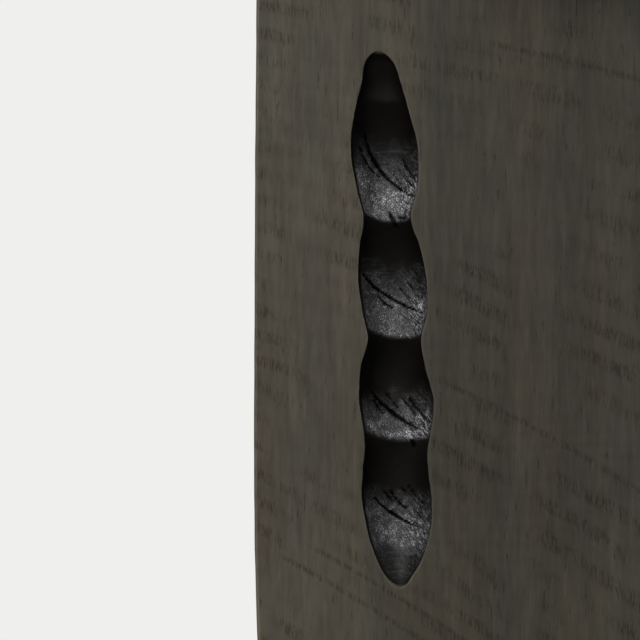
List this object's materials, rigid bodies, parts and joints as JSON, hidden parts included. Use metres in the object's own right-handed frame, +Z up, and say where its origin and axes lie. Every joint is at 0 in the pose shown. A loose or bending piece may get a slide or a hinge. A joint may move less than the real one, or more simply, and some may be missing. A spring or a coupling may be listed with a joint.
{
  "type": "headrest",
  "caption": "Carved wooden headrest: a crescent neck cradle on an upright slab with gouged grooves, tenoned and wedged into an arched foot board.",
  "frame": {"origin": "on the floor, under the middle of the foot board", "axes": "+X along the length, to the right when seen from the front; +Y from front to back; +Z up"},
  "size_m": [0.196, 0.088, 0.1964],
  "materials": {
    "board_wood": "sawn, smoked, matt",
    "pin_wood": "cut hardwood, matt"
  },
  "bodies": {
    "root": {"foot_board": "board_wood", "support_slab": "board_wood", "neck_cradle": "board_wood", "drawbore_peg_left": "pin_wood", "tenon_wedge_left_outer": "pin_wood", "tenon_wedge_left_inner": "pin_wood", "drawbore_peg_right": "pin_wood", "tenon_wedge_right_outer": "pin_wood", "tenon_wedge_right_inner": "pin_wood"}
  },
  "joints": []
}
